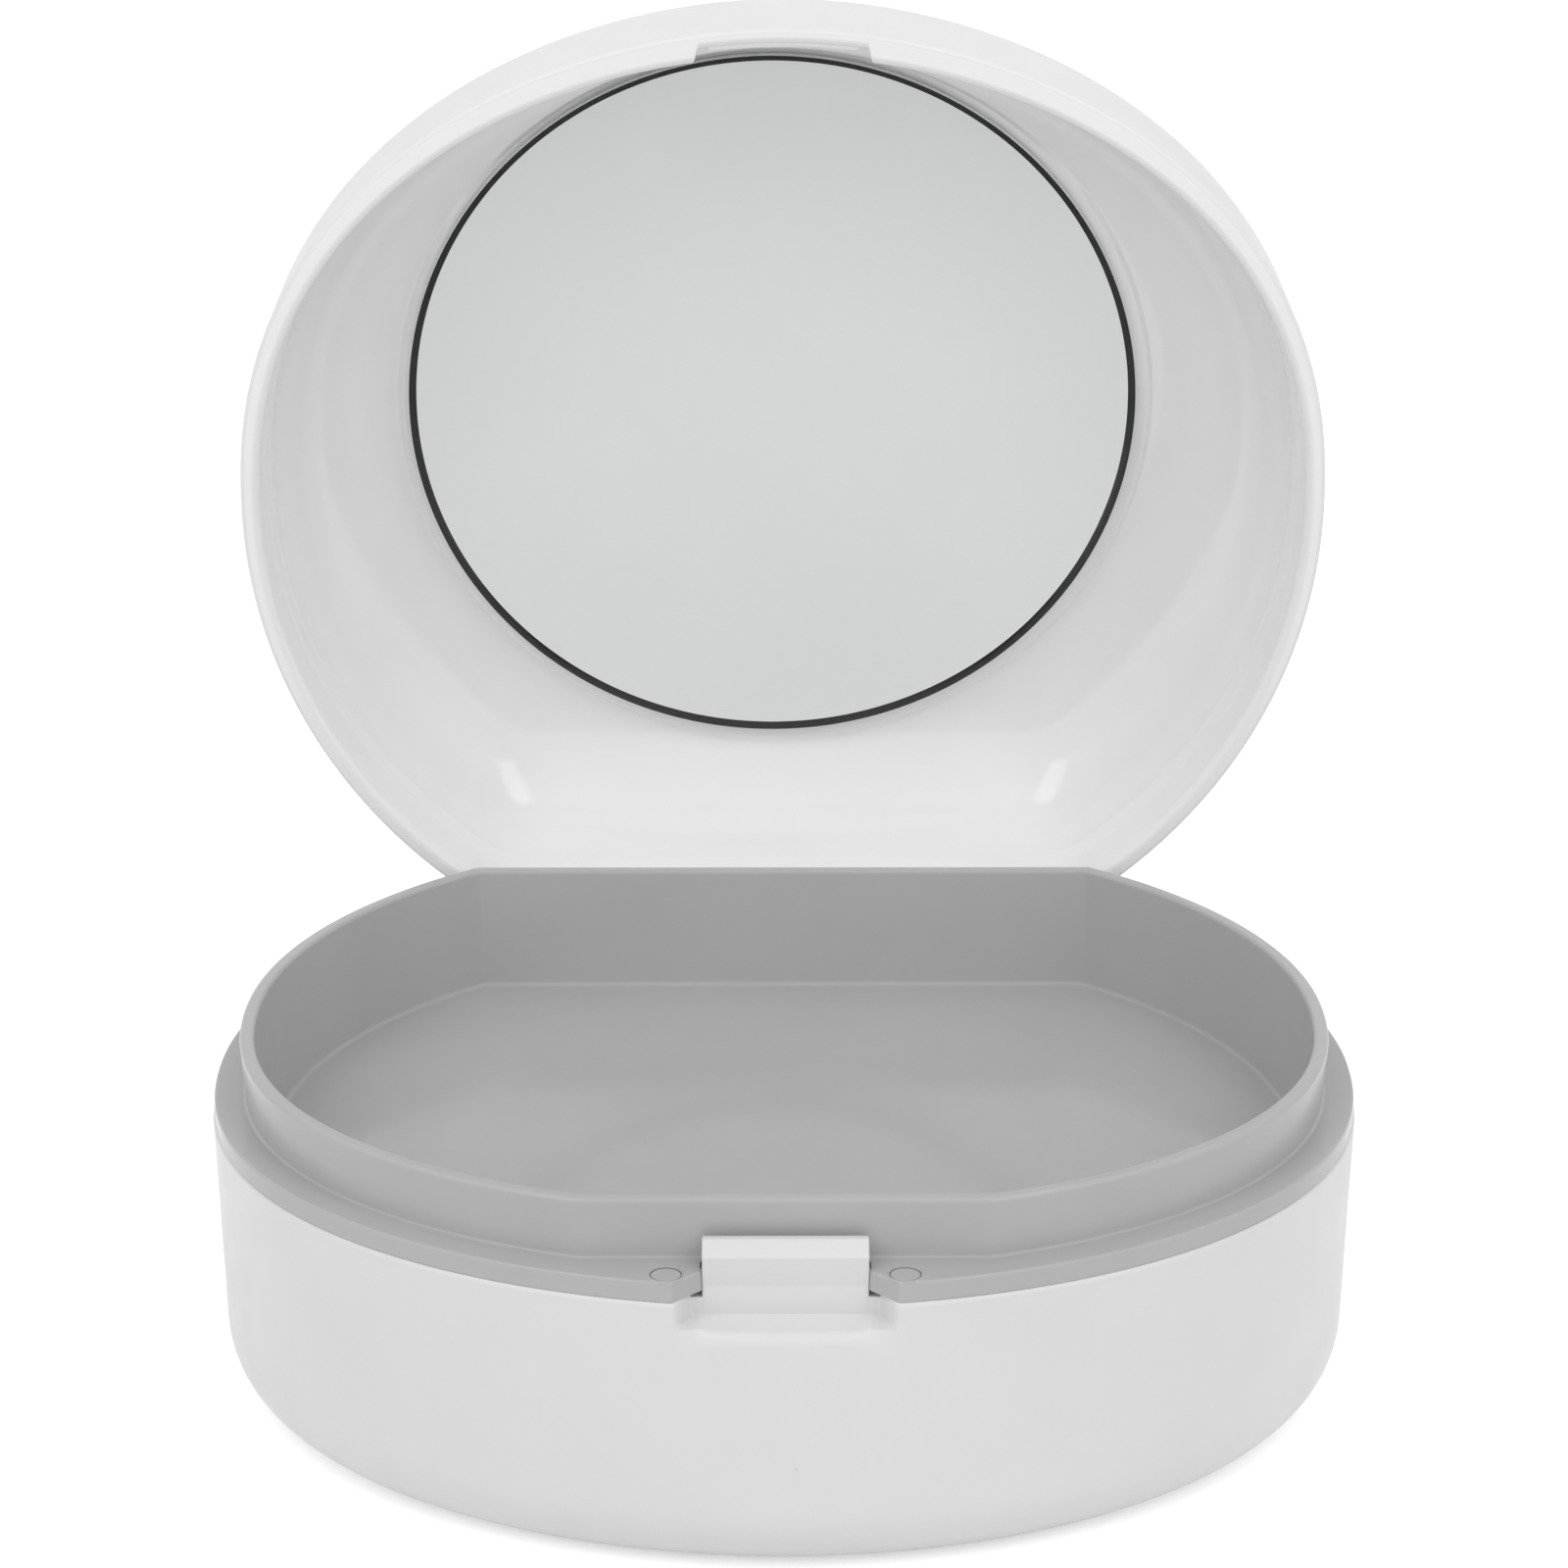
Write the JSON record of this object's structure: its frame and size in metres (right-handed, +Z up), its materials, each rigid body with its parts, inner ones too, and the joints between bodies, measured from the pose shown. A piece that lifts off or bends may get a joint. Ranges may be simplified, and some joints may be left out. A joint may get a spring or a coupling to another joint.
{
  "type": "retainer case",
  "caption": "Oval hinged case with a grey inner tray, a front snap tab and a bowl-shaped lid that carries a round mirror.",
  "frame": {"origin": "centre of the bottom face, on the line where the case is widest", "axes": "+Z up, +X across the case, -Y towards the snap tab at the front"},
  "size_m": [0.092, 0.0957, 0.1056],
  "materials": {
    "white_shell": "satin",
    "white_lid": "satin outside, glossy inside",
    "grey_tray": "semi-gloss",
    "mirror_glass": "polished",
    "adhesive_pad": "matt foam",
    "pin_steel": "drawn"
  },
  "bodies": {
    "base": {"base_shell": "white_shell", "inner_tray": "grey_tray", "hinge_pins": "pin_steel"},
    "lid": {"lid_shell": "white_lid", "mirror": "mirror_glass", "mirror_pad": "adhesive_pad"},
    "tab": {"snap_tab": "white_shell"}
  },
  "joints": [
    {"name": "lid_hinge", "type": "hinge", "parent": "base", "child": "lid", "pos_m": [0, 0.0373, 0.026], "axis": [-1, 0, 0], "range_deg": [-81, 14]},
    {"name": "tab_flex", "type": "hinge", "parent": "base", "child": "tab", "pos_m": [0, -0.03875, 0.0228], "axis": [-1, 0, 0], "range_deg": [0, 5], "stiffness_Nm_per_rad": 0.02}
  ]
}
